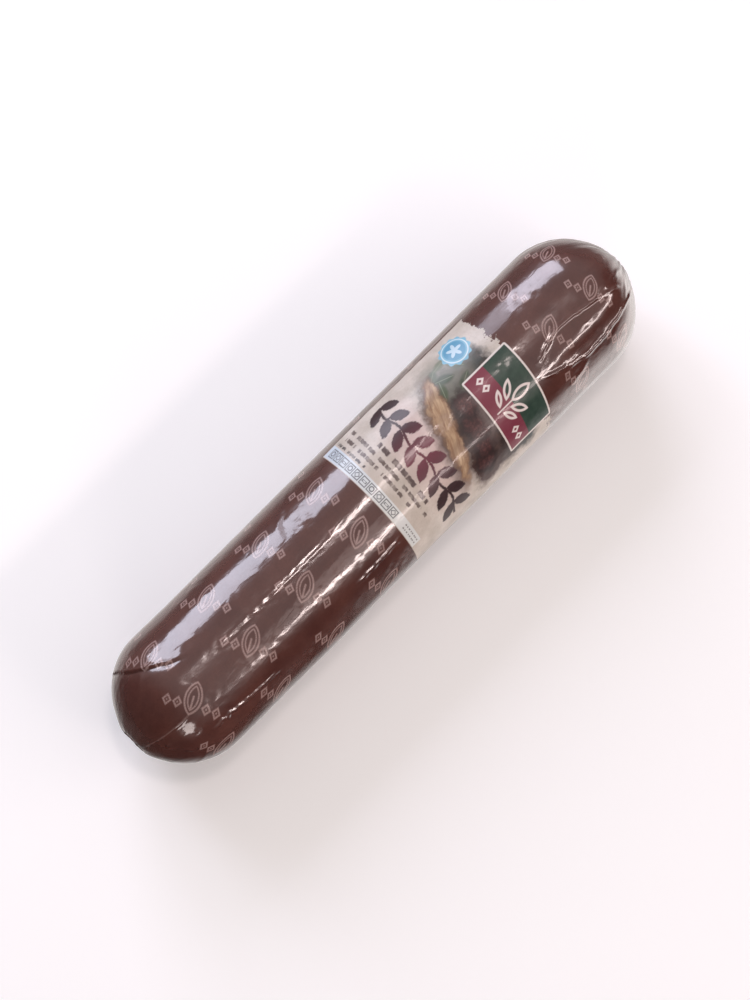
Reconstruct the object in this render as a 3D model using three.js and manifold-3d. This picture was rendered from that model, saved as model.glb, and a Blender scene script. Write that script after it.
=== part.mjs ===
// Cured sausage (salami chub), 60 mm calibre and about 280 mm long.
// It lies along X on a flattened strip, +Z up. The origin is on that strip, under the middle.
// Pieces: the stuffed casing with its gathered necks and tails, and one crimped wire clip
// round the neck at each end. Units are millimetres.

import * as THREE from "three";
import { mergeVertices } from "three/addons/utils/BufferGeometryUtils.js";
import Module from "manifold-3d";

// ---- driving dimensions ----
const RADIUS = 30; // casing radius, 60 mm calibre
const DOME_X = 111.3; // distance of each dome's centre from the middle
const POLE_X = DOME_X + RADIUS; // where the dome would end if it were not gathered
const SAG = 0.8; // how far the underside is pressed flat by its own weight
const AXIS_Z = RADIUS - SAG; // height of the sausage's axis
const SEGMENTS = 72; // facets round the casing
const DOME_STEPS = 14; // steps from the shoulder of a dome to the rim of its dimple
const RIM_R = 6.4; // where the dome turns in towards the clip

const NECK_R = 2.6; // gathered casing inside the clip
const CLIP_GAP = 0.35; // gap between neck and clip
const CLIP_T = 1.8; // thickness of the clip wire
const CLIP_W = 2.4; // width of the clip wire along the axis
const CLIP_X = POLE_X - 4.9; // inner face of the clip
const CLIP_OPEN = 0.5; // gap between the clip's two closed ends
const CLIP_BEVEL = 0.35; // rounding of the wire's edges

const PLEATS = 12; // folds gathered into each end
const PLEAT_SHARE = 0.085; // depth of a fold as a share of the radius, at the clip

// One end as [x from POLE_X, r]: from the rim of the dimple down to the neck, then out to the tail's tip.
const END_PROFILE = [
  [-0.85, 6.0],
  [-1.25, 5.75],
  [-2.0, 5.6],
  [-3.2, 5.55],
  [-4.6, 5.5],
  [-5.5, 5.35],
  [-6.1, 4.9],
  [-6.4, 4.1],
  [-6.25, 3.3],
  [-5.7, NECK_R],
  [-2.2, NECK_R],
  [-1.85, 2.9],
  [-1.55, 3.15],
  [-1.3, 3.3],
  [-1.1, 3.1],
  [-1.0, 2.4],
  [-1.1, 1.4],
].map(([x, r]) => [POLE_X + x, r]);
const TIP_X = POLE_X - 1.15;

const wasm = await Module();
wasm.setup();

function toManifold(geometry) {
  const g = geometry.clone();
  g.deleteAttribute("normal");
  g.deleteAttribute("uv");
  const m = mergeVertices(g, 1e-4);
  return new wasm.Manifold(
    new wasm.Mesh({
      numProp: 3,
      vertProperties: new Float32Array(m.attributes.position.array),
      triVerts: new Uint32Array(m.index.array),
    }),
  );
}

function toGeometry(solid) {
  const m = solid.getMesh();
  const g = new THREE.BufferGeometry();
  g.setAttribute(
    "position",
    new THREE.BufferAttribute(new Float32Array(m.vertProperties), 3),
  );
  g.setIndex(new THREE.BufferAttribute(new Uint32Array(m.triVerts), 1));
  g.computeVertexNormals();
  return g;
}

// ---- the stuffed casing ----
function halfProfile() {
  const points = [];
  const end = Math.asin(RIM_R / RADIUS);
  for (let i = 0; i <= DOME_STEPS; i++) {
    const a = Math.PI / 2 + (end - Math.PI / 2) * (i / DOME_STEPS);
    points.push([DOME_X + RADIUS * Math.cos(a), RADIUS * Math.sin(a)]);
  }
  return points.concat(END_PROFILE);
}

// Folds run in from the dome over the rim of the dimple, and open again on the tail.
// They fade out where the casing is full, and on the round neck that the clip holds.
function pleat(lathe) {
  const p = lathe.attributes.position;
  for (let i = 0; i < p.count; i++) {
    const x = p.getX(i);
    const y = Math.abs(p.getY(i));
    const z = p.getZ(i);
    const r = Math.hypot(x, z);
    if (r < NECK_R + 0.05) continue;
    const onTail = y > CLIP_X + CLIP_W && r < 5;
    const fade = onTail
      ? Math.min(1, (r - NECK_R) / 1.5)
      : Math.min(1, (r - NECK_R) / 2) * Math.max(0, 1 - r / 17);
    const k = 1 + PLEAT_SHARE * fade * Math.cos(PLEATS * Math.atan2(z, x));
    p.setX(i, x * k);
    p.setZ(i, z * k);
  }
}

function casing() {
  const half = halfProfile();
  const profile = [];
  // LatheGeometry turns points (r, y) about Y; y runs along the sausage.
  profile.push(new THREE.Vector2(0, -TIP_X));
  for (const [x, r] of half.slice().reverse())
    profile.push(new THREE.Vector2(r, -x));
  profile.push(new THREE.Vector2(RADIUS, -DOME_X / 2));
  profile.push(new THREE.Vector2(RADIUS, 0));
  profile.push(new THREE.Vector2(RADIUS, DOME_X / 2));
  for (const [x, r] of half) profile.push(new THREE.Vector2(r, x));
  profile.push(new THREE.Vector2(0, TIP_X));
  const lathe = new THREE.LatheGeometry(profile, SEGMENTS);
  pleat(lathe);
  // the lathe's +Y becomes +X, and its axis is lifted to AXIS_Z
  lathe.rotateZ(-Math.PI / 2);
  lathe.translate(0, 0, AXIS_Z);
  let solid = toManifold(lathe);
  // the table side is pressed flat at z = 0
  const table = new THREE.BoxGeometry(400, 200, 40);
  table.translate(0, 0, -20);
  solid = solid.subtract(toManifold(table));
  return toGeometry(solid);
}

// ---- the clip: a staple closed round the neck, its two ends meeting under it ----
function clip() {
  const inner = NECK_R + CLIP_GAP;
  const outer = inner + CLIP_T;
  const half = CLIP_OPEN / 2;
  const shape = new THREE.Shape();
  const steps = 28;
  const from = -Math.PI / 2;
  const a0 = from + Math.asin(half / outer);
  const a1 = from + 2 * Math.PI - Math.asin(half / outer);
  const b0 = from + Math.asin(half / inner);
  const b1 = from + 2 * Math.PI - Math.asin(half / inner);
  for (let i = 0; i <= steps; i++) {
    const a = a0 + ((a1 - a0) * i) / steps;
    const x = outer * Math.cos(a);
    const y = outer * Math.sin(a);
    if (i === 0) shape.moveTo(x, y);
    else shape.lineTo(x, y);
  }
  for (let i = steps; i >= 0; i--) {
    const a = b0 + ((b1 - b0) * i) / steps;
    shape.lineTo(inner * Math.cos(a), inner * Math.sin(a));
  }
  shape.closePath();
  const g = new THREE.ExtrudeGeometry(shape, {
    depth: CLIP_W - 2 * CLIP_BEVEL,
    bevelEnabled: true,
    bevelThickness: CLIP_BEVEL,
    bevelSize: CLIP_BEVEL,
    bevelOffset: -CLIP_BEVEL,
    bevelSegments: 2,
    curveSegments: 1,
  });
  g.translate(0, 0, CLIP_BEVEL);
  return toGeometry(toManifold(g));
}

const casingMaterial = new THREE.MeshStandardMaterial({
  color: 0x5a3834,
  roughness: 0.22,
  metalness: 0,
});
const clipMaterial = new THREE.MeshStandardMaterial({
  color: 0xc9cbcf,
  roughness: 0.35,
  metalness: 1,
});

const sausage = new THREE.Group();

const body = new THREE.Mesh(casing(), casingMaterial);
body.name = "stuffed_casing";
sausage.add(body);

for (const [name, side] of [
  ["clip_label_end", 1],
  ["clip_plain_end", -1],
]) {
  const holder = new THREE.Group();
  // the extrusion's +Z turns to +X or -X, and its opening points down
  holder.position.set(side * CLIP_X, 0, AXIS_Z);
  holder.rotation.set(0, (side * Math.PI) / 2, 0);
  const mesh = new THREE.Mesh(clip(), clipMaterial.clone());
  mesh.name = name;
  holder.add(mesh);
  sausage.add(holder);
}

export default sausage;
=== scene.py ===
import math

import bpy
import numpy as np
from mathutils import Matrix, Vector


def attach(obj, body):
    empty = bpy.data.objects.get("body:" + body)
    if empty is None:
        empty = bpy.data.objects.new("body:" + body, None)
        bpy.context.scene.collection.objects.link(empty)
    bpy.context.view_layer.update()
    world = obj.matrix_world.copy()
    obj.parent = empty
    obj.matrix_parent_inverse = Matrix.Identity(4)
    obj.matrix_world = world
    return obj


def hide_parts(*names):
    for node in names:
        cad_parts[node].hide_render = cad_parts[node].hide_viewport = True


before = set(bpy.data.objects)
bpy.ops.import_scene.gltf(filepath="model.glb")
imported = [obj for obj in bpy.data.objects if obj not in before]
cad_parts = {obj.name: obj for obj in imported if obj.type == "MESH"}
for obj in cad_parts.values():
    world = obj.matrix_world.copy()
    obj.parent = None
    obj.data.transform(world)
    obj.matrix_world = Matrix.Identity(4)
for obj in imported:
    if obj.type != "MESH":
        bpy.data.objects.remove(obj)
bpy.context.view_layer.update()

# ---------------------------------------------------------------- sizes, in millimetres, as in the CAD
MM = 0.001
R = 30.0
DOME_X = 111.3
POLE_X = DOME_X + R
AXIS_Z = 29.2
RIM_R = 6.4
NECK_R = 2.6
CLIP_IN = POLE_X - 4.9
CLIP_W = 2.4
END_PROFILE = [
    (-0.85, 6.0), (-1.25, 5.75), (-2.0, 5.6), (-3.2, 5.55), (-4.6, 5.5), (-5.5, 5.35), (-6.1, 4.9), (-6.4, 4.1),
    (-6.25, 3.3), (-5.7, 2.6), (-5.2, 2.55), (-2.3, 2.55), (-1.9, 2.8), (-1.55, 3.1), (-1.3, 3.25), (-1.1, 3.1),
    (-1.0, 2.4), (-1.12, 1.4), (-1.2, 0.6), (-1.22, 0.02),
]
TILT = math.radians(7.93)  # the label's middle faces this far from straight up, towards -Y
VIEW = math.radians(8.0)  # how far the view is tilted along the sausage

# the label's middle direction, and the direction of growing angle
N0 = np.array([0.0, -math.sin(TILT), math.cos(TILT)])
T0 = np.array([0.0, -math.cos(TILT), -math.sin(TILT)])

rng = np.random.default_rng(20458)


# ---------------------------------------------------------------- the profile of one half
def half_profile():
    pts = []
    n = 600
    for i in range(n):
        pts.append((DOME_X * i / n, R))
    a_end = math.acos(RIM_R / R)
    for i in range(401):
        a = a_end * i / 400
        pts.append((DOME_X + R * math.sin(a), R * math.cos(a)))
    for x, r in END_PROFILE:
        pts.append((POLE_X + x, r))
    p = np.array(pts)
    seg = np.hypot(*np.diff(p, axis=0).T)
    u = np.concatenate([[0], np.cumsum(seg)])
    uu = np.arange(0, u[-1], 0.05)
    x = np.interp(uu, u, p[:, 0])
    r = np.interp(uu, u, p[:, 1])
    # rounds the corners of the gathered end, and leaves the rest as it is
    w = np.hanning(23)
    w /= w.sum()
    k = len(w) // 2
    xs = np.convolve(np.pad(x, k, mode="edge"), w, "valid")
    rs = np.convolve(np.pad(r, k, mode="edge"), w, "valid")
    near = np.clip((uu - (DOME_X + R * a_end - 3.0)) / 2.0, 0, 1) * np.clip((uu[-1] - uu) / 0.6, 0, 1)
    x = x + (xs - x) * near
    r = r + (rs - r) * near
    return uu, x, r


HU, HX, HR = half_profile()
U_RIM = DOME_X + R * math.acos(RIM_R / R)
U_END = float(HU[-1])


def row_positions():
    """Arc positions of the mesh's rows on one half: wide on the straight, close on the dome, closest in the gather."""
    rows = [0.0]
    while rows[-1] < U_END - 0.2:
        u = rows[-1]
        if u < 60:
            step = 1.15
        elif u < DOME_X - 6:
            step = 1.0
        elif u < U_RIM - 4:
            step = 0.66
        else:
            step = 0.42
        rows.append(u + step)
    return np.array(rows[:-1] + [U_END])


half = row_positions()
rows_u = np.concatenate([-half[:0:-1], half])
rows_x = np.sign(rows_u) * np.interp(np.abs(rows_u), HU, HX)
rows_r = np.interp(np.abs(rows_u), HU, HR)

# columns: closer together on the side that the label is on
COLS = 230
fine = np.linspace(-math.pi, math.pi, 20001)
dens = 1 + 1.2 * np.exp(-((fine / math.radians(80)) ** 4))
cum = np.concatenate([[0], np.cumsum((dens[1:] + dens[:-1]) / 2 * np.diff(fine))])
col_th = np.interp(np.arange(COLS) / COLS * cum[-1], cum, fine)

TH, UU = np.meshgrid(col_th, rows_u)
XX = np.repeat(rows_x[:, None], COLS, axis=1)
RR = np.repeat(rows_r[:, None], COLS, axis=1)

# outward normals of the profile
tx = np.gradient(rows_x)
tr = np.gradient(rows_r)
ln = np.hypot(tx, tr) + 1e-9
nx, nr = -tr / ln, tx / ln
NX = np.repeat(nx[:, None], COLS, axis=1)
NR = np.repeat(nr[:, None], COLS, axis=1)


def place(x, r, th):
    """Points from position along, radius and angle from the label's middle."""
    y = r * (np.cos(th) * N0[1] + np.sin(th) * T0[1])
    z = AXIS_Z + r * (np.cos(th) * N0[2] + np.sin(th) * T0[2])
    return np.stack([x, y, z], axis=-1)


BASE = place(XX, RR, TH)
DIR_R = place(np.zeros_like(XX), np.ones_like(RR), TH) - np.array([0, 0, AXIS_Z])
NORMAL = np.stack([NX, NR * DIR_R[..., 1], NR * DIR_R[..., 2]], axis=-1)


def spot(px, py):
    """A point of the surface from its place in the flat view, in quarter units of 0.4096 mm: px across (360 is the middle), py from the label end."""
    t = (px - 360) / 4 * 0.4096
    s = (1400 - py) / 4 * 0.4096
    c, sn = math.cos(VIEW), math.sin(VIEW)
    t = max(-R * 0.995, min(R * 0.995, t))
    th = math.asin(t / R)
    x = (s - R * sn * math.cos(th)) / c
    if abs(x) <= DOME_X:
        return place(np.array(x), np.array(R), np.array(th))
    g = math.copysign(1, x)
    ds = s - g * DOME_X * c
    depth = math.sqrt(max(0.3, R * R - ds * ds - t * t))
    xl = ds * c - depth * sn
    nl = ds * sn + depth * c
    return place(np.array(g * DOME_X + xl), np.array(math.hypot(nl, t)), np.array(math.atan2(t, nl)))


def waves(count, m_lo, m_hi, wl_lo, wl_hi, rms, power=0.0):
    """A smooth random height, periodic round the sausage: a sum of seeded waves."""
    h = np.zeros_like(TH)
    total = 0.0
    for _ in range(count):
        m = int(rng.integers(m_lo, m_hi + 1))
        k = 2 * math.pi / rng.uniform(wl_lo, wl_hi) * rng.choice([-1, 1])
        a = (1.0 / max(m, 1)) ** power
        h += a * np.cos(m * TH + k * UU + rng.uniform(0, 2 * math.pi))
        total += a * a / 2
    return h * (rms / math.sqrt(total))


def smooth(lo, hi, v):
    t = np.clip((v - lo) / (hi - lo), 0, 1)
    return t * t * (3 - 2 * t)


# ---------------------------------------------------------------- the casing's relief
H = np.zeros_like(TH)
H += waves(22, 1, 5, 35, 130, 0.10, 0.5)  # the filling's slow lumps
H += waves(30, 7, 24, 40, 220, 0.024, 0.5)  # long tension lines of the film
patch = 1 / (1 + np.exp(-4.0 * (waves(16, 2, 8, 14, 60, 1.0) - 0.2)))
H += waves(90, 12, 52, 4.0, 13.0, 0.013, 0.3) * (0.35 + 1.3 * patch)  # small crinkles in patches

POINTS = BASE.reshape(-1, 3)


def crease(points, height, width, kind="ridge", taper=0.25, wobble=0.0, wave=4.0, seed=1, side=1):
    """Adds a crease along a path of flat-view points. A fold is a step that relaxes away from its edge."""
    path = np.array([spot(*p) for p in points])
    # a dense path with a little seeded wander
    seg = np.linalg.norm(np.diff(path, axis=0), axis=1)
    cu = np.concatenate([[0], np.cumsum(seg)])
    n = max(8, int(cu[-1] / 0.8))
    uu = np.linspace(0, cu[-1], n)
    dense = np.stack([np.interp(uu, cu, path[:, i]) for i in range(3)], axis=1)
    k = max(1, int(2.5 / (uu[1] - uu[0])))
    ker = np.hanning(2 * k + 3)
    ker /= ker.sum()
    m = len(ker) // 2
    dense = np.stack([np.convolve(np.pad(dense[:, i], m, mode="reflect", reflect_type="odd"), ker, "valid") for i in range(3)], axis=1)
    r2 = np.random.default_rng(seed)
    if wobble:
        ph = r2.uniform(0, 6.28, 6)
        wl = r2.uniform(0.6, 2.2, 6) * wave
        off = sum(np.cos(2 * math.pi * uu / w + p) for w, p in zip(wl, ph)) / 6 ** 0.5 * wobble
        tang = np.gradient(dense, axis=0)
        centre = np.stack([np.clip(dense[:, 0], -DOME_X, DOME_X), np.zeros(n), np.full(n, AXIS_Z)], axis=1)
        nor = dense - centre
        across = np.cross(tang, nor)
        across /= np.linalg.norm(across, axis=1, keepdims=True) + 1e-9
        dense = dense + across * off[:, None]
    a, b = dense[:-1], dense[1:]
    lo = dense.min(0) - 8 * width - 2
    hi = dense.max(0) + 8 * width + 2
    idx = np.where(((POINTS >= lo) & (POINTS <= hi)).all(1))[0]
    q = POINTS[idx]
    best = np.full(len(q), 1e9)
    bt = np.zeros(len(q))
    bs = np.zeros(len(q))
    nq = NORMAL.reshape(-1, 3)[idx]
    for i in range(len(a)):
        ab = b[i] - a[i]
        t = np.clip(((q - a[i]) @ ab) / (ab @ ab + 1e-12), 0, 1)
        c = q - (a[i] + t[:, None] * ab)
        d = np.linalg.norm(c, axis=1)
        hit = d < best
        best[hit] = d[hit]
        bt[hit] = (i + t[hit]) / len(a)
        bs[hit] = np.sign((np.cross(ab, c)[hit] * nq[hit]).sum(1))
    fade = smooth(0, taper, bt) * smooth(0, taper, 1 - bt) if taper > 0 else 1.0
    if kind == "ridge":
        add = height * np.exp(-((best / width) ** 2))
    elif kind == "sharp":
        add = height * np.exp(-(best / width))
    elif kind == "groove":
        add = -height * np.exp(-((best / width) ** 2)) + 0.45 * height * np.exp(-(((best - 1.9 * width) / width) ** 2))
    else:
        s = bs * side
        add = height * (1 / (1 + np.exp(-s * best / (0.22 * width))) - 0.5) * np.exp(-((best / (2.6 * width)) ** 1.3)) * 2
    flat = H.reshape(-1)
    flat[idx] += add * fade


# two long folds that run out from the gather at the label end, and what lies between them
crease([(468, 40), (440, 130), (414, 235), (398, 320), (386, 400), (396, 470), (420, 540), (449, 592)], 0.50, 0.62, "ridge", 0.08, 0.22, 5, 11)
crease([(480, 60), (498, 105), (522, 175), (536, 240), (548, 330), (550, 400), (535, 470), (508, 545), (488, 604)], 0.50, 0.62, "ridge", 0.08, 0.22, 5, 12)
crease([(425, 120), (430, 220), (420, 320), (420, 400), (440, 500), (458, 560)], -0.34, 2.6, "ridge", 0.25, 0.0, 5, 13)
crease([(490, 120), (505, 220), (515, 320), (512, 400), (500, 470), (486, 540)], -0.34, 2.6, "ridge", 0.25, 0.0, 5, 14)
crease([(448, 190), (452, 300), (455, 400)], 0.16, 0.8, "ridge", 0.3, 0.3, 4, 15)
crease([(402, 462), (425, 525), (462, 552)], 0.22, 0.7, "ridge", 0.25, 0.15, 4, 16)
crease([(532, 415), (522, 470), (514, 530)], 0.2, 0.7, "ridge", 0.25, 0.35, 3, 17)
crease([(552, 385), (572, 430), (586, 500), (590, 560)], 0.2, 0.8, "ridge", 0.3, 0.3, 5, 18)
crease([(396, 48), (400, 95), (404, 140)], 0.25, 0.8, "ridge", 0.3, 0.2, 4, 19)
crease([(320, 130), (306, 190), (300, 240)], 0.16, 0.8, "ridge", 0.35, 0.3, 4, 20)
# the plain end: one hard diagonal fold, a long soft pleat, and small dents
crease([(104, 2650), (160, 2566), (186, 2520), (226, 2452), (252, 2400), (280, 2330)], 0.66, 0.55, "fold", 0.22, 0.12, 6, 21, 1)
crease([(380, 2770), (408, 2720), (428, 2650), (437, 2570), (439, 2490)], 0.55, 0.62, "ridge", 0.2, 0.2, 5, 22)
crease([(175, 2530), (215, 2555), (245, 2592), (276, 2650)], 0.18, 1.1, "ridge", 0.3, 0.2, 5, 23)
crease([(505, 2535), (490, 2575), (478, 2610)], 0.10, 1.6, "ridge", 0.3, 0.2, 4, 24)
crease([(525, 2620), (556, 2608)], 0.34, 0.9, "ridge", 0.3, 0.2, 4, 25)
crease([(455, 2664), (476, 2652)], 0.34, 0.9, "ridge", 0.3, 0.2, 4, 26)
crease([(590, 2560), (600, 2620), (590, 2680)], 0.2, 1.0, "ridge", 0.3, 0.3, 4, 27)
# the two press lines that film casing keeps from being supplied flat, one on each side
crease([(533, 1436), (540, 1520), (543, 1600), (546, 1710)], 0.42, 0.6, "ridge", 0.15, 0.5, 3, 31)
crease([(566, 2140), (562, 2240), (556, 2330), (548, 2400), (547, 2505)], 0.50, 0.6, "ridge", 0.12, 0.4, 3, 32)
crease([(322, 1640), (322, 1800), (326, 1960), (330, 2120), (334, 2300)], 0.12, 0.6, "ridge", 0.15, 0.45, 3, 33)
crease([(340, 1600), (342, 1800), (343, 1960), (344, 2120), (346, 2300)], 0.12, 0.6, "ridge", 0.15, 0.45, 3, 34)
# a faint diagonal across the window side
crease([(84, 1620), (120, 1676), (156, 1736), (200, 1766), (238, 1786)], 0.14, 0.9, "fold", 0.3, 0.2, 6, 35, -1)
crease([(86, 640), (88, 820), (90, 1000), (90, 1200)], 0.15, 0.8, "ridge", 0.2, 0.3, 8, 36)
# long axial folds that the hidden side has too
for i, (deg, a0, a1) in enumerate([(-139, -96, -20), (-141, 12, 84), (118, -60, 30), (176, -90, 40), (-100, -40, 70)]):
    th = math.radians(deg)
    path = [place(np.array(x), np.array(R), np.array(th)) for x in np.linspace(a0, a1, 9)]
    ring = np.array(path)
    spot_saved = spot
    spot = lambda x, y, ring=ring: ring[int(y)]
    crease([(0, k) for k in range(9)], 0.14, 0.75, "ridge", 0.2, 0.5, 5, 50 + i)
    spot = spot_saved


# ---------------------------------------------------------------- the gathered ends
def gather(sign, seed):
    """Pleats that run out from the clip over the rim of the dimple and die away on the dome."""
    r2 = np.random.default_rng(seed)
    far = np.clip(U_END - np.abs(UU) - 0.0, 0, None)  # arc distance from the tail's tip
    ell = far - (U_END - U_RIM)  # arc distance outward from the rim
    here = (UU * sign > DOME_X - 26)
    out = np.zeros_like(TH)
    count = 21
    base = np.sort((np.arange(count) + r2.uniform(-0.36, 0.36, count)) / count * 2 * math.pi)
    for k in range(count):
        reach = r2.choice([7, 10, 15, 22, 32], p=[0.25, 0.3, 0.22, 0.15, 0.08]) * r2.uniform(0.85, 1.2)
        depth = r2.uniform(0.3, 0.85) * (0.8 + reach / 60)
        if math.cos(base[k]) > -0.5 and sign < 0:
            reach, depth = min(reach, 6.0), depth * 0.30
        bend = r2.uniform(-0.010, 0.010)
        d = (TH - base[k] - bend * np.clip(ell, -8, 60) * (1 + 0.02 * ell) + math.pi) % (2 * math.pi) - math.pi
        arc = np.abs(d) * np.maximum(RR, 2.2)
        width = 0.55 + 0.028 * np.clip(ell + 8, 0, 60)
        fall = np.exp(-np.clip(ell, 0, None) / (reach * 0.42)) * smooth(-10.5, -4.0, ell) * smooth(reach * 2.2, reach * 1.1, ell)
        out -= depth * fall * np.exp(-((arc / width) ** 1.6))
        out += depth * 0.35 * fall * np.exp(-(((arc - 2.0 * width) / (1.1 * width)) ** 2))
    if sign < 0:
        out *= 1 - 0.85 * smooth(-3.5, -1.0, ell) * smooth(3.5, 0.5, ell)
    out += 0.46 * smooth(-2.2, 0.1, ell) * smooth(8.5, 0.3, ell)  # the film stands a little fuller round the dimple
    return np.where(here, out, 0.0)


H += gather(1, 701)
H += gather(-1, 702)

# the neck stays round where the clip holds it, and the tail is ruffled
AX = np.abs(XX)
in_gather = np.abs(UU) > U_RIM + 2.0
on_neck = in_gather & (RR < 3.2)
H = np.where(on_neck, np.clip(H, -0.25, 0.05), np.where(in_gather, np.clip(H, -0.6, 0.35), H))
tail = smooth(POLE_X - 2.25, POLE_X - 1.4, AX) * (in_gather & (RR < 3.9) & (AX > POLE_X - 2.3))

P = BASE + NORMAL * H[..., None]
for sign, seed in ((1, 5), (-1, 6)):
    r2 = np.random.default_rng(seed)
    ph = r2.uniform(0, 6.28, 4)
    ruffle = 0.17 * np.cos(9 * TH + ph[0]) + 0.10 * np.cos(14 * TH + ph[1]) + 0.10 * np.cos(4 * TH + ph[2]) + 0.06 * np.cos(23 * TH + ph[3])
    lift = 0.22 * np.cos(5 * TH + ph[1]) + 0.16 * np.cos(11 * TH + ph[2])
    on = tail * (XX * sign > 0)
    grow = 1 + ruffle * on
    P[..., 1] = P[..., 1] * grow
    P[..., 2] = AXIS_Z + (P[..., 2] - AXIS_Z) * grow
    P[..., 0] += sign * (0.5 * lift - 0.75) * on * np.clip(RR / 3.6, 0, 1)

# its own weight presses the underside flat on what it lies on
z = P[..., 2]
soft = 0.10
P[..., 2] = 0.00 + np.where(z > 1.2, z, soft * np.logaddexp(0, (z - 0.02) / soft))
lim = POLE_X + 0.25
P[..., 0] = np.clip(P[..., 0], -lim, lim)  # nothing stands out past the gathered tail

# ---------------------------------------------------------------- the casing's mesh
n_rows = len(rows_u)
verts = P.reshape(-1, 3)
quads = []
for i in range(n_rows - 1):
    j = np.arange(COLS)
    jn = (j + 1) % COLS
    quads.append(np.stack([i * COLS + j, i * COLS + jn, (i + 1) * COLS + jn, (i + 1) * COLS + j], axis=1))
quads = np.concatenate(quads)
pole = np.array([P[0].mean(0), P[-1].mean(0)])
pole[0][0] += 0.02
pole[1][0] -= 0.02
verts = np.concatenate([verts, pole])
n_v = len(verts)
j = np.arange(COLS)
jn = (j + 1) % COLS
cap0 = np.stack([np.full(COLS, n_v - 2), jn, j], axis=1)
last = (n_rows - 1) * COLS
cap1 = np.stack([np.full(COLS, n_v - 1), last + j, last + jn], axis=1)
# facing out: the first quad's normal against its own direction
q = verts[quads[len(quads) // 2]]
nrm = np.cross(q[1] - q[0], q[2] - q[0])
mid = q.mean(0) - np.array([q.mean(0)[0], 0, AXIS_Z])
if nrm @ mid < 0:
    quads = quads[:, ::-1]
    cap0 = cap0[:, ::-1]
    cap1 = cap1[:, ::-1]

faces = [tuple(f) for f in quads.tolist()] + [tuple(f) for f in cap0.tolist()] + [tuple(f) for f in cap1.tolist()]
mesh = bpy.data.meshes.new("stuffed_casing_skin")
mesh.from_pydata((verts * MM).tolist(), [], faces)
mesh.validate()
mesh.update()
mesh.polygons.foreach_set("use_smooth", np.ones(len(mesh.polygons), dtype=bool))

# ---------------------------------------------------------------- where the print lies, per corner
loop_v = np.zeros(len(mesh.loops), dtype=np.int64)
mesh.loops.foreach_get("vertex_index", loop_v)
poly_start = np.zeros(len(mesh.polygons), dtype=np.int64)
mesh.polygons.foreach_get("loop_start", poly_start)
poly_total = np.zeros(len(mesh.polygons), dtype=np.int64)
mesh.polygons.foreach_get("loop_total", poly_total)
poly_of = np.repeat(np.arange(len(mesh.polygons)), poly_total)

v_th = np.concatenate([TH.reshape(-1), [0.0, 0.0]])
v_u = np.concatenate([UU.reshape(-1), [-U_END, U_END]])
v_x = np.concatenate([XX.reshape(-1), [-POLE_X, POLE_X]])
l_th = v_th[loop_v]
l_u = v_u[loop_v]
# the seam column: corners that wrapped round get a whole turn more; pole corners take their face's angle
first = l_th[poly_start][poly_of]
is_pole = loop_v >= n_v - 2
ref = np.zeros(len(mesh.polygons))
for k in range(3):
    pick = poly_start + k
    ok = ~is_pole[pick]
    ref = np.where(ok, l_th[pick], ref)
ref = ref[poly_of]
l_th = np.where(is_pole, ref, l_th)
l_th = np.where(l_th - ref > math.pi, l_th - 2 * math.pi, l_th)
l_th = np.where(ref - l_th > math.pi, l_th + 2 * math.pi, l_th)
# keep every face of the seam column on its high side
low = (l_th < -math.pi - 1e-6)
fix = np.zeros(len(mesh.polygons), dtype=bool)
np.logical_or.at(fix, poly_of[low], True)
l_th = np.where(fix[poly_of], l_th + 2 * math.pi, l_th)

deg = np.degrees(l_th)


def label_coords(th, u):
    """Where a corner lies on the flat print: V round and U along, in millimetres. The print runs slightly askew, and bows near the label's head."""
    d = (np.degrees(th) + 180) % 360 - 180
    ramp = 1 - smooth(95, 165, np.abs(d))
    slope = np.interp(u, [-40, -6, 10, 30, 50, 79, 110], [0.0, 0.02, 0.10, 0.10, 0.07, 0.06, 0.0])
    bow = np.interp(u, [50, 79, 100], [0.0, 6.4, 7.5])
    v = R * th
    shift = np.interp(u, [-8, 0, 10, 80], [0.6, 0.7, 1.5, 1.7])
    uu = u + shift + slope * (R * np.radians(d)) * ramp + bow * np.minimum(1 - np.cos(np.radians(d)), 1.0)
    return v, uu


def motif_coords(th, u):
    """Cell numbers of the repeated mark: round in columns, along in rows."""
    d = np.degrees(th)
    col = np.interp(d, [-188.6, -138.4, -88.2, -38, 13, 71, 121.2, 171.4, 221.6], [-4, -3, -2, -1, 0, 1, 2, 3, 4])
    row = np.interp(u, [-170, -146.2, -113.9, -81.5, -50.9, -20.2, 12.0, 44.4, 69.8, 94.3, 118.8, 144.0, 169.0],
                    [-4.74, -4, -3, -2, -1, 0, 1, 2, 3, 4, 5, 6, 7])
    col = col + 0.06 + 0.15 * smooth(30, 80, u)
    dd = (d + 180) % 360 - 180
    drop = 3.6 * (smooth(22, 66, dd) - smooth(110, 165, dd))
    return col, row + drop / 32.4


lv, lu = label_coords(l_th, l_u)
mc, mr = motif_coords(l_th, l_u)


def uv_layer(name, a, b):
    layer = mesh.uv_layers.new(name=name)
    layer.data.foreach_set("uv", np.stack([a, b], axis=1).astype(np.float32).reshape(-1))


bake_u = (l_u + U_END) / (2 * U_END)
bake_v = (l_th + math.pi) / (2 * math.pi + 0.06)
uv_layer("OFBake", 0.004 + 0.992 * bake_u, 0.004 + 0.992 * bake_v)
uv_layer("PrintUV", lv, lu)
uv_layer("MotifUV", mc, mr)
uv_layer("SkinUV", R * l_th, l_u)
mesh.uv_layers.active = mesh.uv_layers["OFBake"]

casing = bpy.data.objects.new("casing_skin", mesh)
bpy.context.scene.collection.objects.link(casing)


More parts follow.
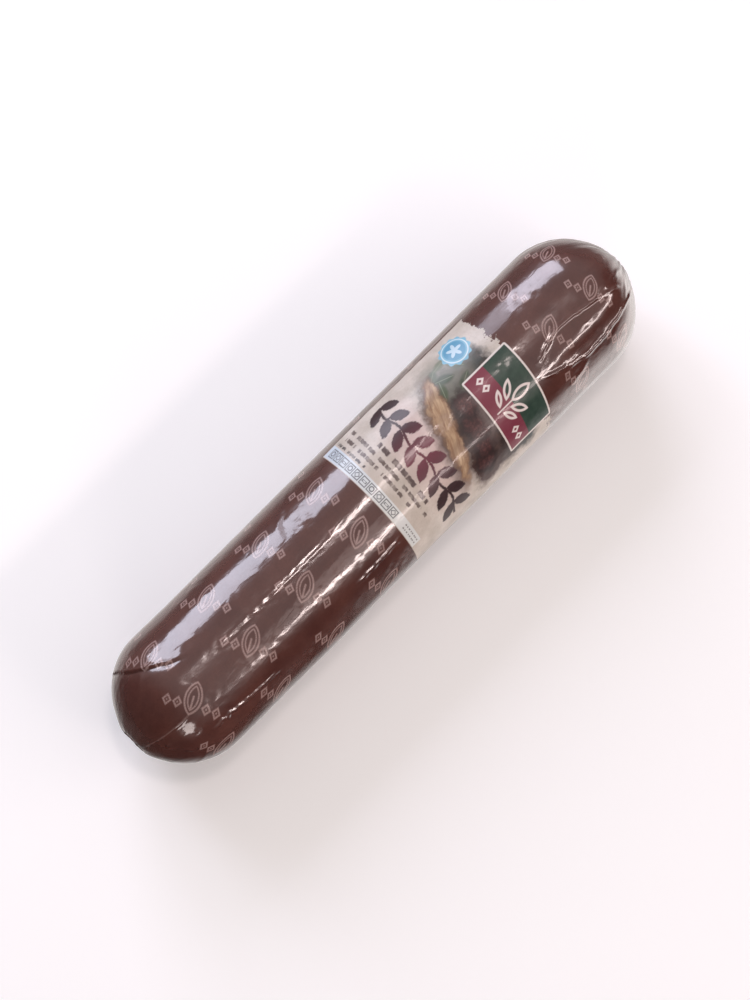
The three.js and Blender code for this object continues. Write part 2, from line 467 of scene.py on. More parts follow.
# ---------------------------------------------------------------- a small language for shader nodes
def lin(r, g, b):
    """A colour given as 0..255, as the shader's linear numbers."""
    out = []
    for c in (r, g, b):
        c /= 255
        out.append(c / 12.92 if c <= 0.04045 else ((c + 0.055) / 1.055) ** 2.4)
    return tuple(out) + (1.0,)


class Graph:
    def __init__(self, material):
        self.tree = material.node_tree
        self.count = 0

    def new(self, kind):
        node = self.tree.nodes.new(kind)
        node.location = (-3000 + 60 * (self.count % 60), 40 * (self.count // 60))
        node.hide = True
        self.count += 1
        return node

    def link(self, a, socket):
        self.tree.links.new(a, socket)

    def put(self, value, socket):
        if isinstance(value, S):
            self.link(value.sock, socket)
        elif isinstance(value, (int, float)):
            if hasattr(socket.default_value, "__len__"):
                n = len(socket.default_value)
                socket.default_value = [value] * n if n == 3 else [value, value, value, 1.0]
            else:
                socket.default_value = value
        else:
            socket.default_value = value

    def math(self, op, a, b=0.0, c=0.0, clamp=False):
        n = self.new("ShaderNodeMath")
        n.operation = op
        n.use_clamp = clamp
        self.put(a, n.inputs[0])
        self.put(b, n.inputs[1])
        self.put(c, n.inputs[2])
        return S(self, n.outputs[0])

    def step(self, lo, hi, v):
        """0 at lo and 1 at hi, straight between."""
        n = self.new("ShaderNodeMapRange")
        n.clamp = True
        self.put(v, n.inputs["Value"])
        self.put(float(lo), n.inputs["From Min"])
        self.put(float(hi), n.inputs["From Max"])
        return S(self, n.outputs["Result"])

    def mix(self, fac, a, b):
        n = self.new("ShaderNodeMix")
        n.data_type = "RGBA"
        n.clamp_factor = True
        self.put(fac, n.inputs[0])
        self.put(a, n.inputs[6])
        self.put(b, n.inputs[7])
        return S(self, n.outputs[2])

    def mixf(self, fac, a, b):
        n = self.new("ShaderNodeMix")
        n.data_type = "FLOAT"
        self.put(fac, n.inputs[0])
        self.put(a, n.inputs[2])
        self.put(b, n.inputs[3])
        return S(self, n.outputs[0])

    def xyz(self, x, y, z=0.0):
        n = self.new("ShaderNodeCombineXYZ")
        self.put(x, n.inputs[0])
        self.put(y, n.inputs[1])
        self.put(z, n.inputs[2])
        return S(self, n.outputs[0])

    def split(self, v):
        n = self.new("ShaderNodeSeparateXYZ")
        self.link(v.sock, n.inputs[0])
        return S(self, n.outputs[0]), S(self, n.outputs[1]), S(self, n.outputs[2])

    def vec(self, op, a, b=None, c=None):
        n = self.new("ShaderNodeVectorMath")
        n.operation = op
        self.put(a, n.inputs[0])
        if b is not None:
            self.put(b, n.inputs[1])
        if c is not None:
            self.put(c, n.inputs[2])
        return S(self, n.outputs["Value"] if op in ("LENGTH", "DOT_PRODUCT", "DISTANCE") else n.outputs["Vector"])

    def uv(self, name):
        n = self.new("ShaderNodeUVMap")
        n.uv_map = name
        return S(self, n.outputs[0])

    def noise(self, vec, scale, detail=2.0, rough=0.5, distort=0.0, dims="3D", colour=False):
        n = self.new("ShaderNodeTexNoise")
        n.noise_dimensions = dims
        self.link(vec.sock, n.inputs["Vector"])
        n.inputs["Scale"].default_value = scale
        n.inputs["Detail"].default_value = detail
        n.inputs["Roughness"].default_value = rough
        n.inputs["Distortion"].default_value = distort
        return S(self, n.outputs["Color"] if colour else n.outputs["Fac"])


class S:
    def __init__(self, g, sock):
        self.g, self.sock = g, sock

    def __add__(self, o): return self.g.math("ADD", self, o)
    def __radd__(self, o): return self.g.math("ADD", self, o)
    def __sub__(self, o): return self.g.math("SUBTRACT", self, o)
    def __rsub__(self, o): return self.g.math("SUBTRACT", o, self)
    def __mul__(self, o): return self.g.math("MULTIPLY", self, o)
    def __rmul__(self, o): return self.g.math("MULTIPLY", self, o)
    def __truediv__(self, o): return self.g.math("DIVIDE", self, o)
    def __neg__(self): return self.g.math("MULTIPLY", self, -1.0)
    def abs(self): return self.g.math("ABSOLUTE", self)
    def min(self, o): return self.g.math("MINIMUM", self, o)
    def max(self, o): return self.g.math("MAXIMUM", self, o)
    def fract(self): return self.g.math("FRACT", self)
    def floor(self): return self.g.math("FLOOR", self)
    def sin(self): return self.g.math("SINE", self)
    def muladd(self, m, a): return self.g.math("MULTIPLY_ADD", self, m, a)


def inside(g, d, soft=0.12):
    """A mask from a signed distance in millimetres: 1 inside the shape."""
    return g.step(soft, -soft, d)


def box(g, p, cx, cy, hx, hy, round_=0.0):
    q = g.vec("ABSOLUTE", g.vec("SUBTRACT", p, (cx, cy, 0.0)))
    x, y, _ = g.split(q)
    if round_:
        x = x - (hx - round_)
        y = y - (hy - round_)
        return g.vec("LENGTH", g.xyz(x.max(0.0), y.max(0.0))) + x.max(y).min(0.0) - round_
    return (x - hx).max(y - hy)


def ellipse(g, p, cx, cy, rx, ry):
    """Roughly the distance to an ellipse, in millimetres."""
    q = g.vec("MULTIPLY", g.vec("SUBTRACT", p, (cx, cy, 0.0)), (1 / rx, 1 / ry, 0.0))
    return (g.vec("LENGTH", q) - 1.0) * min(rx, ry)


def turned(g, p, cx, cy, deg):
    """The plane's coordinates, moved to a centre and turned."""
    n = g.new("ShaderNodeVectorRotate")
    n.rotation_type = "Z_AXIS"
    g.link(g.vec("SUBTRACT", p, (cx, cy, 0.0)).sock, n.inputs["Vector"])
    n.inputs["Angle"].default_value = math.radians(-deg)
    return S(g, n.outputs[0])


def leaf(g, q, length, width):
    """A pointed oval along q's second axis: the overlap of two circles."""
    L, w = length / 2, width / 2
    r = (L * L + w * w) / (2 * w)
    x, y, _ = g.split(q)
    return g.vec("LENGTH", g.xyz(x.abs() + (r - w), y)) - r


# ---------------------------------------------------------------- the casing's material
mat = bpy.data.materials.new("printed_casing")
mat.use_nodes = True
g = Graph(mat)
bsdf = g.tree.nodes["Principled BSDF"]

skin = g.uv("SkinUV")
uvp = g.uv("PrintUV")
uvm = g.uv("MotifUV")

# plain brown film with slow unevenness
cloud = g.noise(skin, 0.06, 3.0, 0.55, dims="2D")
grain = g.noise(skin, 0.9, 2.0, 0.6, dims="2D")
colour = g.mix(g.step(0.3, 0.7, cloud), lin(80, 46, 41), lin(94, 57, 50))
colour = g.mix(g.step(0.35, 0.75, grain) * 0.25, colour, lin(70, 41, 36))

# the repeated mark: an outlined leaf with small outlined lozenges on each side, turned 30 degrees
mu, mv, _ = g.split(uvm)
cu = (mu - 0.5).fract() - 0.5
cv = (mv - 0.5).fract() - 0.5
cell = g.xyz(cu * 27.0, cv * 32.4)
c30, s30 = math.cos(math.radians(30)), math.sin(math.radians(30))
cx, cy, _ = g.split(cell)
ma = cx * c30 + cy * s30
mb = cy * c30 - cx * s30
body = leaf(g, g.xyz(ma, mb - 1.0), 14.2, 7.4)
mark = (body + 0.34).abs() - 0.34
mark = mark.min((body + 1.62).abs() - 0.26)
vein = g.vec("LENGTH", g.xyz(ma, (mb + 0.9).abs().max(2.6) - 2.6)) - 0.38
mark = mark.min(vein)
side = ma.abs() - 5.9
tile = side - (side / 4.5 + 0.5).floor().max(0.0).min(1.0) * 4.5
loz = (tile.abs() * 0.78 + (mb + 1.9).abs() * 0.63) - 1.62
mark = mark.min((loz + 0.36).abs() - 0.36).min(loz + 1.30)
worn = g.noise(skin, 2.4, 3.0, 0.65, dims="2D")
skx, sky, _ = g.split(skin)
mark_mask = inside(g, mark, 0.24) * g.step(0.22, 0.52, worn) * g.step(138.5, 136.5, sky.abs()) * 0.78
colour = g.mix(mark_mask, colour, lin(178, 149, 143))

# a pale line painted along the ridge of the long pleat at the plain end: a painted highlight where the ridge catches
# no lamp, together with the film's whitening at the crease
pleat = []
for fx, fy in ((382, 2766), (408, 2720), (428, 2650), (437, 2570), (439, 2490)):
    q3 = spot(fx, fy)
    r3 = q3 - np.array([q3[0], 0, AXIS_Z])
    pleat.append((-(DOME_X + R * math.asin(min(1.0, max(0.0, (abs(q3[0]) - DOME_X) / R)))), R * math.atan2(float(r3 @ T0), float(r3 @ N0))))
pleat.sort()
line_v = pleat[0][1]
for (ua, va), (ub, vb) in zip(pleat[:-1], pleat[1:]):
    line_v = g.step(ua, ub, sky) * (vb - va) + line_v
pleat_painted_highlight = g.step(0.55, 0.15, (skx - line_v + (worn - 0.5) * 0.8).abs()) * g.step(pleat[-1][0] + 1.0, pleat[-1][0] - 4.0, sky) * g.step(pleat[0][0] - 1.0, pleat[0][0] + 1.0, sky)
# the pale colour of the painted highlight on the pleat's ridge, with the film's whitening
colour = g.mix(pleat_painted_highlight * g.step(0.25, 0.6, worn) * 0.55, colour, lin(150, 124, 117))

# ---- the label
lx, ly, _ = g.split(uvp)
p = g.xyz(lx, ly)
edge_n = g.noise(p, 0.22, 4.0, 0.62, dims="2D")
edge_f = g.noise(p, 0.9, 3.0, 0.6, dims="2D")
rough_p = (edge_n - 0.5) * 9.0 + (edge_f - 0.5) * 3.2
top_edge = ly - 77.4 + rough_p
left_edge = -34.6 - lx + (edge_n - 0.5) * 0.9
right_edge = lx - 43.0 + (edge_n - 0.5) * 4.0
bottom_edge = -5.8 - ly
label_d = top_edge.max(left_edge).max(right_edge).max(bottom_edge)
P0, P1, Q0, Q1 = -8.6, 30.4, 54.0, 79.4
pcx, pcy, phx, phy = (P0 + P1) / 2, (Q0 + Q1) / 2, (P1 - P0) / 2, (Q1 - Q0) / 2
panel = box(g, p, pcx, pcy, phx, phy, 0.8)
label = inside(g, label_d.min(panel), 0.18)

cream = g.mix(g.step(0.3, 0.72, g.noise(p, 0.11, 3.0, 0.5, dims="2D")), lin(190, 180, 168), lin(212, 202, 192))
cream = g.mix(g.step(0.45, 0.8, edge_f) * 0.35, cream, lin(176, 160, 146))
# a rosy bloom behind the ornament's middle
bloom = g.step(1.0, -0.4, ellipse(g, p, 2.0, 25.0, 17.0, 8.0) / 8.0)
cream = g.mix(bloom * 0.45, cream, lin(214, 178, 178))

# the picture: a dark board with bread, cured meat and herbs, in plain painted shapes
pn = g.noise(p, 0.13, 4.0, 0.6, colour=True, dims="2D")
warp = g.vec("MULTIPLY", g.vec("SUBTRACT", pn, (0.5, 0.5, 0.5)), (11.0, 11.0, 0.0))
pw = g.vec("ADD", p, warp)
board = box(g, pw, 7.5, 53.5, 27.0, 17.5, 6.0)
board_c = g.mix(g.step(42.0, 66.0, ly), lin(50, 34, 32), lin(36, 40, 38))
board_c = g.mix(g.step(12.0, 30.0, lx) * g.step(60.0, 46.0, ly), board_c, lin(70, 42, 38))
board_c = g.mix(g.step(0.45, 0.7, g.noise(p, 0.3, 3.0, 0.6, dims="2D")) * 0.5, board_c, lin(84, 62, 54))
cream = g.mix(g.step(2.4, -2.4, board), cream, board_c)
# dusky wash on the left, with leaves
wash = ellipse(g, pw, -17.0, 52.0, 10.0, 13.0)
cream = g.mix(g.step(5.0, -5.0, wash) * 0.75, cream, lin(132, 132, 120))
for (hx, hy, rot, ln_, wd, col) in (
    (-19.5, 46.5, 38, 10.0, 4.6, (92, 104, 84)),
    (-15.5, 50.5, -22, 9.0, 4.2, (64, 80, 58)),
    (-22.5, 53.5, 12, 8.0, 3.6, (112, 120, 98)),
    (-12.0, 46.5, 70, 9.0, 3.8, (74, 88, 62)),
    (-17.0, 58.5, -50, 8.0, 3.4, (96, 106, 88)),
    (-9.0, 56.5, 30, 8.0, 3.6, (58, 72, 52)),
):
    q = turned(g, p, hx, hy, rot)
    d = leaf(g, q, ln_, wd)
    qx, qy, _ = g.split(q)
    cream = g.mix(g.step(0.7, -0.5, d) * 0.85, cream, lin(*col))
    cream = g.mix(g.step(0.28, 0.05, qx.abs()) * g.step(0.2, -0.4, d) * 0.5, cream, lin(150, 156, 130))
# long slices of bread sweeping under the meat, softly painted
streak = g.noise(g.vec("MULTIPLY", turned(g, p, 0, 40, -20), (0.22, 1.0, 1.0)), 0.42, 3.0, 0.55, 0.3, dims="2D")
bw = g.vec("ADD", p, g.vec("MULTIPLY", g.vec("SUBTRACT", pn, (0.5, 0.5, 0.5)), (7.0, 7.0, 0.0)))
cream = g.mix(g.step(2.2, -2.0, ellipse(g, turned(g, bw, 2.0, 36.4, -16), 0, 0, 23.0, 5.6)) * 0.85, cream, lin(70, 50, 42))
for (hx, hy, rot, rx, ry) in (
    (-13.0, 40.8, -27, 10.2, 4.2), (-4.0, 39.0, -22, 11.0, 4.6), (6.5, 36.2, -18, 11.0, 3.6), (16.5, 34.0, -14, 9.5, 2.6),
):
    q = turned(g, bw, hx, hy, rot)
    d = ellipse(g, q, 0, 0, rx, ry)
    face = g.mix(g.step(0.36, 0.66, streak), lin(150, 114, 84), lin(200, 172, 138))
    face = g.mix(g.step(-1.5, 0.1, d), face, lin(118, 84, 60))
    cream = g.mix(g.step(0.9, -0.9, d) * 0.9, cream, face)
# round slices of the cured meat, fanned, with a dull sheen on each
fleck = g.noise(p, 0.75, 3.0, 0.6, 0.2, dims="2D")
for (hx, hy, rr) in ((22.0, 43.6, 6.4), (15.0, 45.8, 7.2), (7.0, 47.6, 7.4), (-1.0, 49.6, 6.8)):
    q = turned(g, bw, hx, hy, -8)
    d = ellipse(g, q, 0, 0, rr, rr * 0.72)
    meat = g.mix(g.step(0.40, 0.75, fleck), lin(64, 35, 35), lin(94, 56, 54))
    meat = g.mix(g.step(-2.4, -0.2, d), meat, lin(42, 27, 27))
    cream = g.mix(g.step(1.0, -0.8, d), cream, meat)
cream = g.mix(g.step(1.6, -1.4, ellipse(g, turned(g, bw, 5.0, 54.2, -14), 0, 0, 11.0, 1.6)) * 0.5, cream, lin(142, 122, 118))

# the panel at the head: white edge, green ground, a maroon roundel with a sprig
paint = g.mix(g.step(0.3, 0.7, g.noise(p, 0.4, 2.0, 0.5, dims="2D")), lin(38, 60, 50), lin(48, 70, 58))
sx, sy, _ = g.split(g.vec("SUBTRACT", p, (pcx, pcy, 0.0)))
paint = g.mix(g.step(-0.9, -1.2, sy), paint, lin(124, 48, 66))
qm = g.xyz(sx.abs(), sy)
sprig = leaf(g, g.xyz(sx, sy - 4.3), 11.0, 4.6)
for (hx, hy, rot, ln_, wd) in ((4.7, 0.2, -44, 9.0, 3.6), (4.3, -5.0, -58, 7.6, 3.0)):
    sprig = sprig.min(leaf(g, turned(g, qm, hx, hy, rot), ln_, wd))
stem = box(g, g.xyz(sx, sy), 0.0, -4.6, 0.30, 4.8)
sprig = ((sprig + 0.52).abs() - 0.52).min(stem)
lz = sx.abs() - 11.0
lz = lz - (lz / 3.9 + 0.5).floor().max(0.0).min(1.0) * 3.9
lz = lz.abs() * 0.80 + (sy + 6.2).abs() * 0.60 - 1.35
sprig = sprig.min((lz + 0.42).abs() - 0.42)
paint = g.mix(inside(g, sprig, 0.14), paint, lin(228, 216, 212))
rim_line = panel + 0.85
paint = g.mix(g.step(-0.12, 0.12, rim_line), paint, lin(224, 216, 210))
cream = g.mix(inside(g, panel, 0.14), cream, paint)

# the round blue badge with a scalloped edge and a plain ring of dots
bq = g.vec("MULTIPLY", g.vec("SUBTRACT", p, (-22.5, 63.0, 0.0)), (0.71, 0.71, 1.0))
bx, by, _ = g.split(bq)
ang = g.math("ARCTAN2", by, bx)
rad = g.vec("LENGTH", bq)
scal = rad - ((ang * 12.0).sin() * 0.32 + 5.3)
cream = g.mix(inside(g, scal, 0.16), cream, lin(122, 178, 200))
cream = g.mix(g.step(0.12, -0.12, (rad - 4.4).abs() - 0.2), cream, lin(206, 222, 228))
cream = g.mix(g.step(0.12, -0.12, rad - 3.7), cream, lin(88, 152, 184))
star = rad - ((ang * 5.0).sin() * 0.8 + 1.9)
cream = g.mix(g.step(0.15, -0.15, star), cream, lin(188, 212, 224))

# the brushed ornament: a bold garland of slanted leaves on a waving stem
gy = ly - 22.2
wavy = (lx * 0.34).sin() * 1.0
gx = lx + 31.0
cellw = 7.9
gi = (gx / cellw).floor()
gf = gx - gi * cellw - cellw / 2
odd = (gi * 0.5).fract() * 4.0 - 1.0  # -1 or 1
up = leaf(g, turned(g, g.xyz(gf, gy - 0.4), 0.7, 3.9, -34), 9.8, 4.9)
dn = leaf(g, turned(g, g.xyz(gf, gy - 0.4), 0.7, -3.9, -146), 9.8, 4.9)
stemd = (gy - wavy).abs() - 0.62
dry = g.noise(g.vec("MULTIPLY", p, (1.0, 0.35, 1.0)), 1.5, 4.0, 0.65, dims="2D")
orn = up.min(dn).min(stemd) + (dry - 0.5) * 1.5
orn = orn.max(lx.muladd(1.0, -1.5).abs() - 31.2)
ink = g.mix(g.step(16.0, 2.0, (lx - 1.0).abs()), lin(58, 38, 40), lin(112, 52, 66))
ink = g.mix(g.step(0.5, 0.75, dry) * 0.4, ink, lin(84, 44, 52))
cream = g.mix(inside(g, orn, 0.22), cream, ink)

# rows of plain dashes where small print would be
smudge = g.noise(p, 0.35, 1.0, 0.5, dims="2D")


def dashes(y0, half_h, x0, x1, period, phase, shade, gap=0.0):
    global cream
    yy = (ly - y0 + (lx * 3.1).sin() * 0.12).abs() - half_h
    wob = (lx * (6.2832 / period) + phase).sin() + (lx * (6.2832 / (period * 1.73)) + phase * 2.1).sin() * 0.7
    word = (lx * (6.2832 / (period * 5.3)) + phase * 3.3).sin()
    m = g.step(0.18, -0.18, yy) * g.step(gap - 0.3, gap + 0.3, wob) * g.step(-0.92, -0.80, word) * (g.step(0.32, 0.55, smudge) * 0.35 + 0.65)
    m = m * g.step(x0 - 0.2, x0 + 0.2, lx) * g.step(x1 + 0.2, x1 - 0.2, lx)
    cream = g.mix(m * 0.9, cream, shade)


dashes(12.2, 1.15, -15.5, 16.5, 3.1, 0.4, lin(62, 38, 40), -1.15)
dashes(8.2, 0.85, -31.5, 21.0, 2.8, 1.1, lin(86, 68, 63), -1.1)
dashes(4.6, 0.85, -30.5, 12.0, 2.8, 2.3, lin(86, 68, 63), -1.1)
dashes(1.3, 0.60, -33.2, -12.5, 2.0, 0.2, lin(50, 41, 41), -1.1)

# the pale strip along the foot, with plain boxed signs
strip = box(g, p, -3.2, -2.8, 31.2, 2.75, 0.3)
strip_c = g.mix(g.step(-34.0, 0.0, lx), lin(196, 206, 216), lin(218, 220, 218))
ix = lx + 32.0
ic = (ix / 4.3).floor()
ifx = (ix - ic * 4.3 - 2.15).abs()
ify = (ly + 2.8).abs()
frame_d = (ifx.max(ify) - 1.66).abs() - 0.19
pick = (ic * 0.37).fract()
disc = g.vec("LENGTH", g.xyz(ifx, ify)) - 0.95
dia = (ifx + ify) - 1.15
sq = ifx.max(ify * 2.4) - 0.95
kind = g.mixf(g.step(0.30, 0.32, pick), disc, dia)
kind = g.mixf(g.step(0.62, 0.64, pick), kind, sq)
signs = frame_d.min(kind.abs() - 0.22)
signs = signs.max(lx - 10.95).max(-32.0 - lx)
strip_c = g.mix(inside(g, signs, 0.14) * 0.9, strip_c, lin(58, 60, 66))
tiny = g.step(0.1, -0.1, ((ly + 2.8).abs() - 0.95).abs() - 0.34) * g.step(-0.4, 0.0, (lx * 4.6).sin() + (lx * 2.63 + 0.7).sin() * 0.7) * g.step(15.6, 16.0, lx) * g.step(27.2, 26.8, lx)
strip_c = g.mix(tiny * 0.8, strip_c, lin(104, 98, 96))
cream = g.mix(inside(g, strip, 0.12), cream, strip_c)

colour = g.mix(label, colour, cream)

# ---- gloss and the film's fine crinkle
smear = g.noise(skin, 0.10, 4.0, 0.6, dims="2D")
rough = g.mixf(g.step(0.3, 0.75, smear), 0.16, 0.26)
rough = rough + mark_mask * 0.05 + label * 0.16
h1 = g.noise(g.vec("MULTIPLY", skin, (1.0, 0.30, 1.0)), 0.55, 1.5, 0.5, 0.5, dims="2D")
h2 = g.noise(g.vec("MULTIPLY", skin, (1.0, 0.55, 1.0)), 1.3, 1.0, 0.5, dims="2D")
height = h1 * 0.044 + h2 * 0.004
bump = g.new("ShaderNodeBump")
bump.inputs["Strength"].default_value = 1.0
bump.inputs["Distance"].default_value = 0.001
if "Filter Width" in bump.inputs:
    bump.inputs["Filter Width"].default_value = 1.0
g.link(height.sock, bump.inputs["Height"])

g.link(colour.sock, bsdf.inputs["Base Color"])
g.link(rough.sock, bsdf.inputs["Roughness"])
g.link(bump.outputs[0], bsdf.inputs["Normal"])
bsdf.inputs["IOR"].default_value = 1.5
bsdf.inputs["Metallic"].default_value = 0.0
# the film's own gloss over the print, duller where the label's ink lies
g.link((1.0 - label * 0.75).sock, bsdf.inputs["Coat Weight"])
g.link(bump.outputs[0], bsdf.inputs["Coat Normal"])
bsdf.inputs["Coat Roughness"].default_value = 0.08
bsdf.inputs["Coat IOR"].default_value = 1.5
mesh.materials.append(mat)

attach(casing, "root")
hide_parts("stuffed_casing")


# ---------------------------------------------------------------- the clips
metal = bpy.data.materials.new("clip_wire")
metal.use_nodes = True
gm = Graph(metal)
mb_ = gm.tree.nodes["Principled BSDF"]
tc = gm.new("ShaderNodeTexCoord")
obj = S(gm, tc.outputs["Object"])
scr = gm.noise(gm.vec("MULTIPLY", obj, (3000.0, 500.0, 500.0)), 1.0, 4.0, 0.6)
spots = gm.noise(obj, 900.0, 3.0, 0.5)
cm = gm.mix(gm.step(0.35, 0.7, scr), lin(198, 200, 204), lin(226, 227, 229))
cm = gm.mix(gm.step(0.55, 0.75, spots) * 0.4, cm, lin(150, 150, 152))
gm.link(cm.sock, mb_.inputs["Base Color"])
gm.link(gm.mixf(gm.step(0.3, 0.7, scr), 0.24, 0.42).sock, mb_.inputs["Roughness"])
mb_.inputs["Metallic"].default_value = 0.8
bm = gm.new("ShaderNodeBump")
bm.inputs["Strength"].default_value = 0.35
bm.inputs["Distance"].default_value = 0.0001
gm.link(scr.sock, bm.inputs["Height"])
gm.link(bm.outputs[0], mb_.inputs["Normal"])


def make_clip(name, sign, node):
    """Flat-sided wire closed round the neck, its ends meeting underneath, with tool marks where it was crimped."""
    inner, outer = 2.95, 4.72
    mid_r, hr, hw = (inner + outer) / 2, (outer - inner) / 2, 1.2
    sec = []
    rr = 0.5
    for (ca, cb, a0) in ((1, 1, 0), (-1, 1, 90), (-1, -1, 180), (1, -1, 270)):
        for k in range(5):
            a = math.radians(a0 + 22.5 * k)
            sec.append((ca * (hr - rr) + rr * math.cos(a), cb * (hw - rr) + rr * math.sin(a)))
    n = 96
    gap = math.asin(0.28 / inner)
    vs, fs = [], []
    m = len(sec)
    for i in range(n + 1):
        a = -math.pi / 2 + gap + (2 * math.pi - 2 * gap) * i / n
        mark = 0.10 * math.exp(-(((math.degrees(a) - 0) / 16) ** 2)) + 0.10 * math.exp(-(((math.degrees(a) - 180) / 16) ** 2))
        end = min(i, n - i) / 3.0
        shrink = 1 - 0.22 * max(0, 1 - end)
        top = 0.14 * math.exp(-(((math.degrees(a) - 90) / 24) ** 2))
        for (sr, sw) in sec:
            r = mid_r + sr * shrink - (mark if sr > 0 else 0) + (top if sr > 0 else 0)
            x = CLIP_IN + 1.2 + sw * shrink * (1 + 0.02 * math.sin(7 * a))
            vs.append((sign * x * MM, r * math.cos(a) * MM, (AXIS_Z + r * math.sin(a)) * MM))
    for i in range(n):
        for k in range(m):
            a, b = i * m + k, i * m + (k + 1) % m
            fs.append((a, b, b + m, a + m))
    fs.append(tuple(range(m)))
    fs.append(tuple(range(n * m, (n + 1) * m)))
    me = bpy.data.meshes.new(name)
    me.from_pydata(vs, [], fs)
    me.validate()
    import bmesh
    b = bmesh.new()
    b.from_mesh(me)
    bmesh.ops.recalc_face_normals(b, faces=b.faces)
    b.to_mesh(me)
    b.free()
    me.polygons.foreach_set("use_smooth", np.ones(len(me.polygons), dtype=bool))
    me.materials.append(metal)
    ob = bpy.data.objects.new(name, me)
    bpy.context.scene.collection.objects.link(ob)
    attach(ob, "root")
    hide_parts(node)
    return ob


make_clip("clip_wire_label_end", 1, "clip_label_end")
make_clip("clip_wire_plain_end", -1, "clip_plain_end")

# ---------------------------------------------------------------- floor, light and camera
fm = bpy.data.materials.new("floor_white")
fm.use_nodes = True
fb = fm.node_tree.nodes["Principled BSDF"]
fb.inputs["Base Color"].default_value = (0.95, 0.95, 0.955, 1)
fb.inputs["Emission Color"].default_value = (1.0, 1.0, 1.0, 1)
fg = Graph(fm)
ftc = fg.new("ShaderNodeTexCoord")
fdist = fg.vec("LENGTH", S(fg, ftc.outputs["Object"]))
fg.link((fg.step(0.7, 3.5, fdist) * 0.45 + 0.13).sock, fb.inputs["Emission Strength"])
fb.inputs["Roughness"].default_value = 0.9
fb.inputs["Specular IOR Level"].default_value = 0.1
fmesh = bpy.data.meshes.new("floor")
fmesh.from_pydata([(-6, -6, -0.0002), (6, -6, -0.0002), (6, 6, -0.0002), (-6, 6, -0.0002)], [], [(0, 1, 2, 3)])
fmesh.materials.append(fm)
floor = bpy.data.objects.new("floor", fmesh)
bpy.context.scene.collection.objects.link(floor)
floor.visible_glossy = False  # the film mirrors the studio, not the table

world = bpy.data.worlds.new("studio")
world.use_nodes = True
wt = world.node_tree


def ramp(src, lo, hi, out_lo, out_hi):
    n = wt.nodes.new("ShaderNodeMapRange")
    n.interpolation_type = "SMOOTHSTEP"
    wt.links.new(src, n.inputs["Value"])
    for key, v in (("From Min", lo), ("From Max", hi), ("To Min", out_lo), ("To Max", out_hi)):
        n.inputs[key].default_value = v
    return n


def both(op, a, b):
    n = wt.nodes.new("ShaderNodeMath")
    n.operation = op
    wt.links.new(a.outputs[0], n.inputs[0])
    wt.links.new(b.outputs[0], n.inputs[1])
    return n


# a pale ceiling and window side; the far side and the near end of the room are dark, with a pale table
wc = wt.nodes.new("ShaderNodeTexCoord")
ws = wt.nodes.new("ShaderNodeSeparateXYZ")
wt.links.new(wc.outputs["Generated"], ws.inputs[0])
far_side = both("ADD", ramp(ws.outputs[2], 0.10, 0.70, 0.012, 0.54), ramp(ws.outputs[2], -0.72, -0.95, 0.0, 0.45))
far_end = both("MULTIPLY", ramp(ws.outputs[0], 0.09, 0.26, 0.0, 2.4), ramp(ws.outputs[2], -0.12, -0.50, 0.0, 1.0))
far_end = both("MULTIPLY", far_end, ramp(ws.outputs[2], -1.0, -0.55, 0.22, 1.0))
far_side = both("ADD", far_side, far_end)
near_side = both("ADD", ramp(ws.outputs[2], -0.05, 0.50, 0.17, 0.52), ramp(ws.outputs[2], -0.34, -0.62, 0.0, 0.50))
wm = wt.nodes.new("ShaderNodeMix")
wm.data_type = "FLOAT"
wt.links.new(ramp(ws.outputs[1], -0.25, 0.25, 0.0, 1.0).outputs[0], wm.inputs[0])
wt.links.new(far_side.outputs[0], wm.inputs[2])
wt.links.new(near_side.outputs[0], wm.inputs[3])
wm = both("MULTIPLY", wm, ramp(ws.outputs[0], -0.70, -0.10, 0.15, 1.0))
wt.nodes["Background"].inputs["Color"].default_value = (1.0, 0.95, 0.93, 1)
wt.links.new(wm.outputs[0], wt.nodes["Background"].inputs["Strength"])
wb = wt.nodes.new("ShaderNodeBackground")
wb.inputs["Color"].default_value = (1.0, 1.0, 1.0, 1)
wb.inputs["Strength"].default_value = 0.82
wp = wt.nodes.new("ShaderNodeLightPath")
wx = wt.nodes.new("ShaderNodeMixShader")
wt.links.new(wp.outputs["Is Camera Ray"], wx.inputs[0])
wt.links.new(wt.nodes["Background"].outputs[0], wx.inputs[1])
wt.links.new(wb.outputs[0], wx.inputs[2])
wt.links.new(wx.outputs[0], wt.nodes["World Output"].inputs["Surface"])
bpy.context.scene.world = world


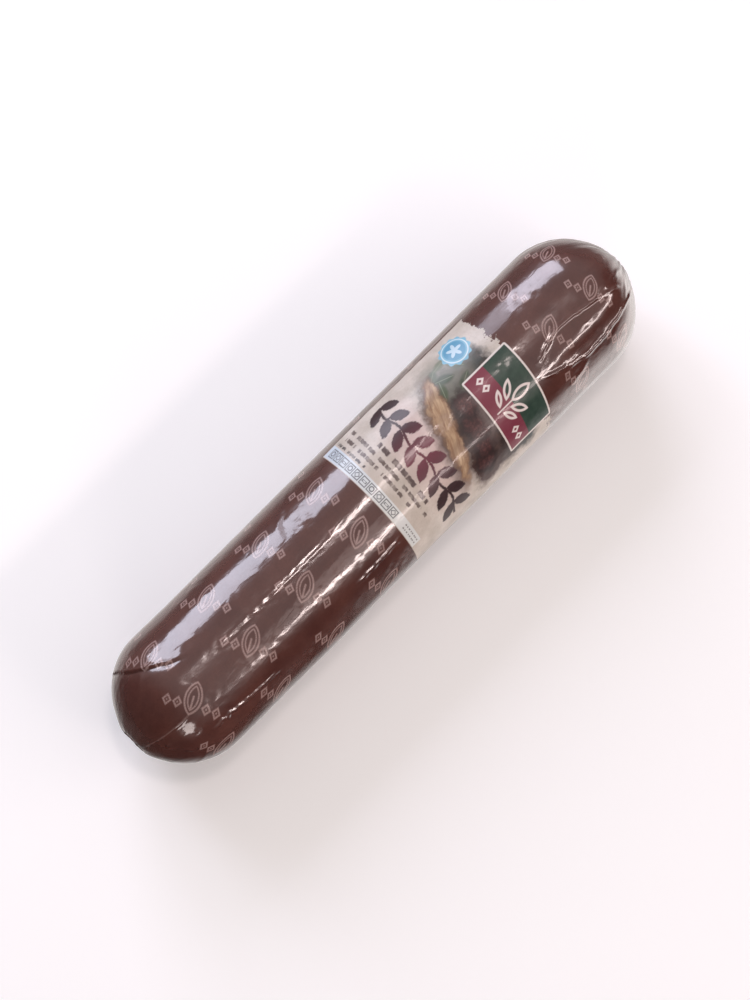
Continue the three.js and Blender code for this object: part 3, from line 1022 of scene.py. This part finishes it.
def strip_light(name, angle, dist, x, width, length, watts, colour):
    """A soft box beside the sausage. angle is its turn from the label's middle, seen along the sausage."""
    a = math.radians(angle)
    d = Vector(tuple(N0 * math.cos(a) + T0 * math.sin(a)))
    pos = d * dist + Vector((x, 0, AXIS_Z * MM))
    light = bpy.data.lights.new(name, "AREA")
    light.shape = "RECTANGLE"
    light.size = width
    light.size_y = length
    light.energy = watts
    light.color = colour
    ob = bpy.data.objects.new(name, light)
    zaxis = (pos - Vector((x * 0.35, 0, AXIS_Z * MM))).normalized()
    yaxis = Vector((1, 0, 0))
    xaxis = yaxis.cross(zaxis).normalized()
    yaxis = zaxis.cross(xaxis).normalized()
    m = Matrix((xaxis, yaxis, zaxis)).transposed().to_4x4()
    m.translation = pos
    ob.matrix_world = m
    ob.visible_camera = False
    bpy.context.scene.collection.objects.link(ob)
    return ob


strip_light("window_low", -70, 1.5, 0.0, 0.84, 0.41, 7.2, (0.82, 0.84, 1.0))
strip_light("window_bar", -70, 1.5, 0.32, 0.84, 0.23, 1.3, (0.82, 0.84, 1.0))
strip_light("window_high", -70, 1.5, 0.74, 0.80, 0.61, 10.8, (0.86, 0.84, 1.0))
strip_light("lamp_top", -9, 2.2, 0.28, 0.24, 0.28, 4.4, (1.0, 0.84, 0.81))
strip_light("lamp_top_wide", -7, 2.2, 0.345, 0.52, 0.12, 1.8, (1.0, 0.85, 0.83))
strip_light("lamp_side", 47, 2.0, 1.34, 0.15, 2.52, 16.5, (1.0, 0.84, 0.81))
strip_light("lamp_side_low", 47, 2.0, 0.29, 0.15, 0.42, 1.7, (1.0, 0.84, 0.81))
strip_light("lamp_side_soft", 40, 2.0, 0.17, 1.10, 0.16, 0.72, (1.0, 0.82, 0.78))
strip_light("glint_end", 62, 2.0, -1.67, 0.80, 0.80, 12, (1.0, 0.88, 0.85))

cam_data = bpy.data.cameras.new("camera")
cam_data.sensor_width = 36
cam_data.lens = 104.9
cam_data.clip_end = 50
cam = bpy.data.objects.new("camera", cam_data)
bpy.context.scene.collection.objects.link(cam)
az, el, dist = math.radians(-45.55), math.radians(78.76), 1.2
back = Vector((math.sin(az) * math.cos(el), -math.cos(az) * math.cos(el), math.sin(el)))
target = Vector((-0.0013, 0, AXIS_Z * MM))
cam.location = target + back * dist
right = Vector((math.cos(az), math.sin(az), 0))
up = back.cross(right)
cam.matrix_world = Matrix.Translation(cam.location) @ Matrix((right, up, back)).transposed().to_4x4()
bpy.context.scene.camera = cam

bpy.context.scene.view_settings.view_transform = "Standard"
bpy.context.scene.view_settings.look = "None"
bpy.context.scene.view_settings.exposure = 0.0

bpy.context.view_layer.update()
